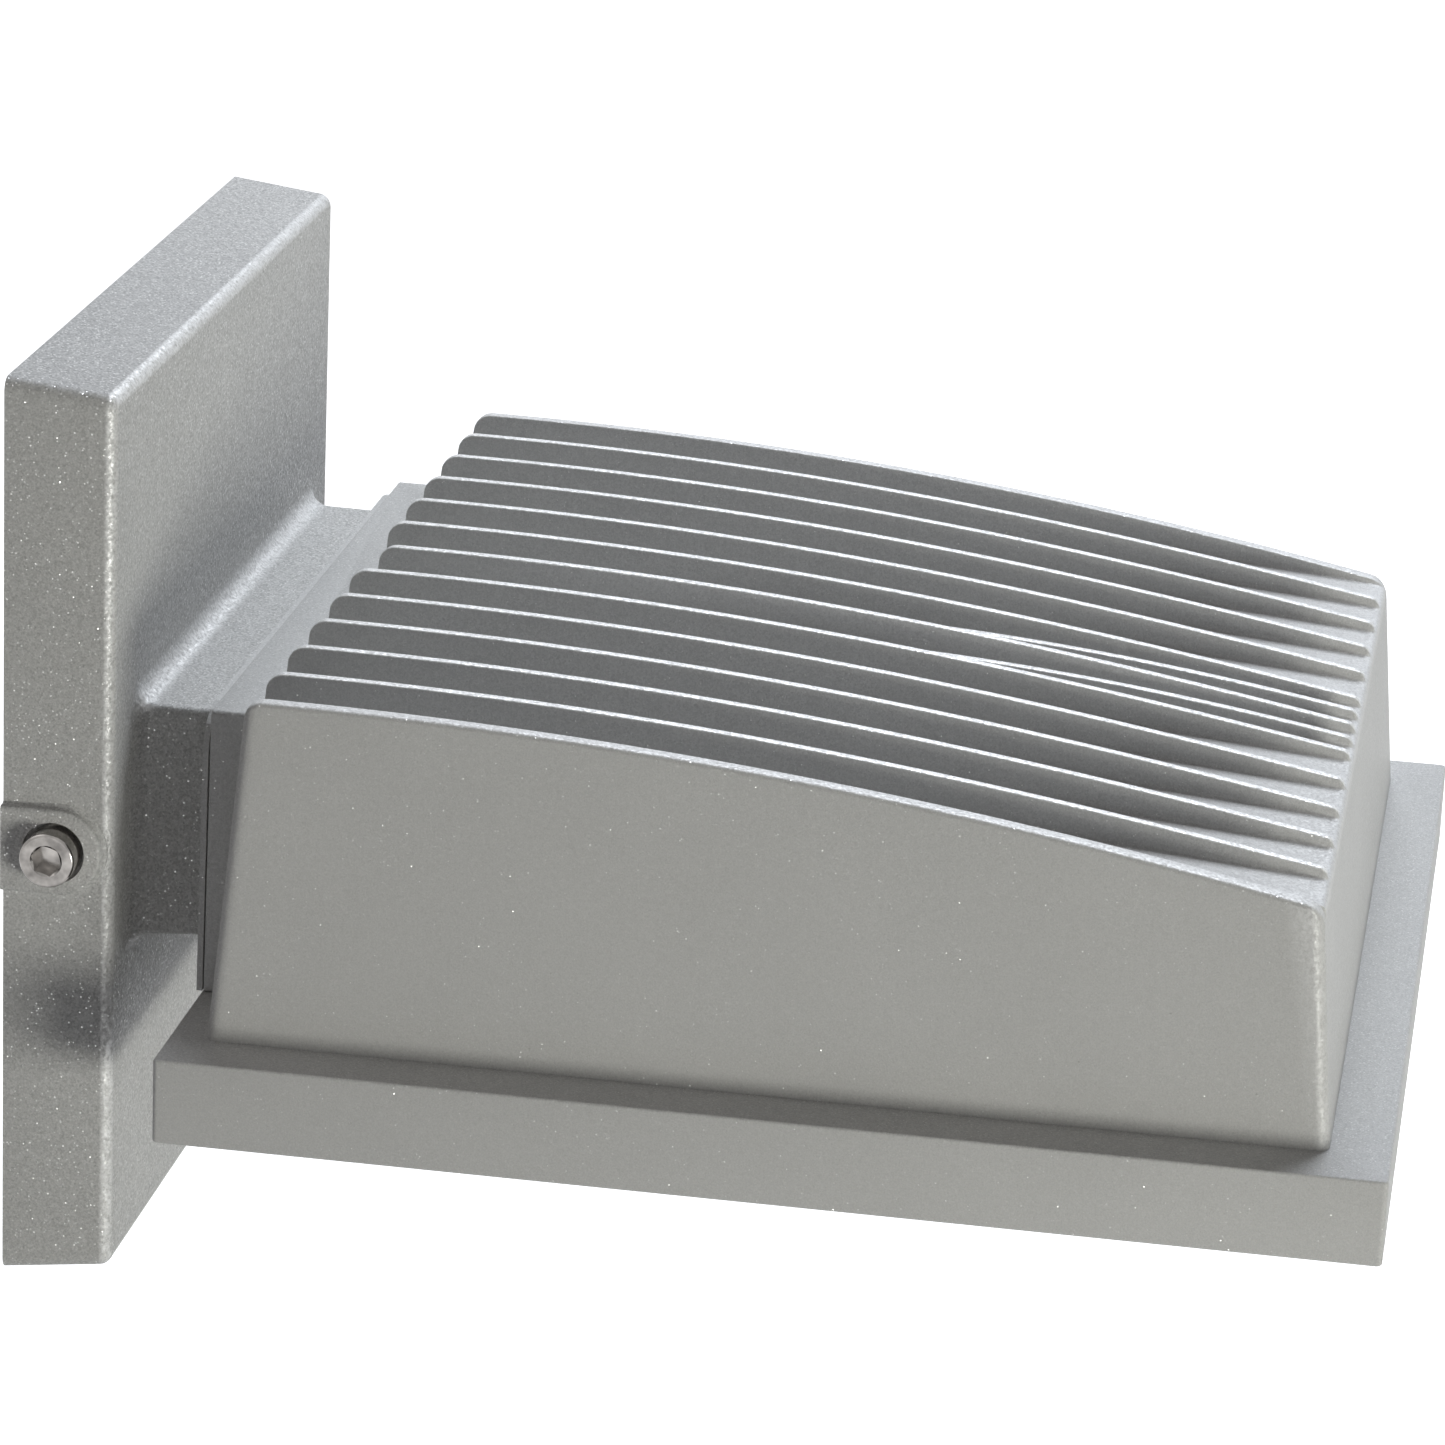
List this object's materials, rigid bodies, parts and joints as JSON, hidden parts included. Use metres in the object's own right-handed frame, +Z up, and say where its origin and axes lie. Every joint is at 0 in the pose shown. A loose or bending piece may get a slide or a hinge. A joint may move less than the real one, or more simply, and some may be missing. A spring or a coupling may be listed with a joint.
{
  "type": "wall pack light",
  "caption": "Outdoor wall pack light with a square wall box, a short wide neck, a finned die-cast head and a flat glass lens that faces down.",
  "frame": {"origin": "centre of the wall box on the wall plane, which is also the centre of the fixing holes", "axes": "+Z up, -Y out from the wall towards the front of the head, X across; X = 0 is the plane of symmetry"},
  "size_m": [0.2182, 0.2378, 0.16],
  "materials": {
    "silver_coat": "satin metallic powder coat, fine sparkle",
    "silver_coat_coarse": "satin metallic powder coat, coarse sparkle",
    "stainless": "polished",
    "zinc_steel": "zinc plated",
    "spring_steel": "satin",
    "green_steel": "green plated",
    "brass": "satin",
    "black_rubber": "matte",
    "white_silicone": "matte",
    "white_plastic": "matte",
    "lead_sleeve": "matte",
    "driver_metal": "satin",
    "grey_pad": "matte",
    "board_white": "white solder mask",
    "emitter_yellow": "gloss",
    "reflector_white": "white semi-gloss",
    "clear_glass": "clear toughened glass"
  },
  "bodies": {
    "root": {"wall_bracket": "zinc_steel", "ear_nuts": "zinc_steel", "wire_bushing": "black_rubber", "ground_screw": "green_steel", "terminal_block": "white_plastic", "terminal_screws": "brass", "wall_gasket": "black_rubber", "wall_box": "silver_coat_coarse", "side_screws": "stainless", "neck_seal": "black_rubber", "neck_bolts": "zinc_steel", "neck_washers": "zinc_steel", "wire_grommet": "black_rubber", "supply_leads": "lead_sleeve", "mounting_plate": "silver_coat", "head_gasket": "black_rubber", "heat_sink": "silver_coat", "driver_case": "driver_metal", "driver_screws": "zinc_steel", "led_leads": "lead_sleeve", "thermal_pad": "grey_pad", "led_board": "board_white", "led_emitters": "emitter_yellow", "led_board_screws": "zinc_steel", "reflector": "reflector_white", "reflector_screws": "zinc_steel", "housing_seal": "black_rubber", "lens_frame": "silver_coat", "frame_screws": "stainless", "lens_gasket": "white_silicone", "lens": "clear_glass", "lens_clips": "spring_steel", "lens_clip_screws": "zinc_steel"}
  },
  "joints": []
}
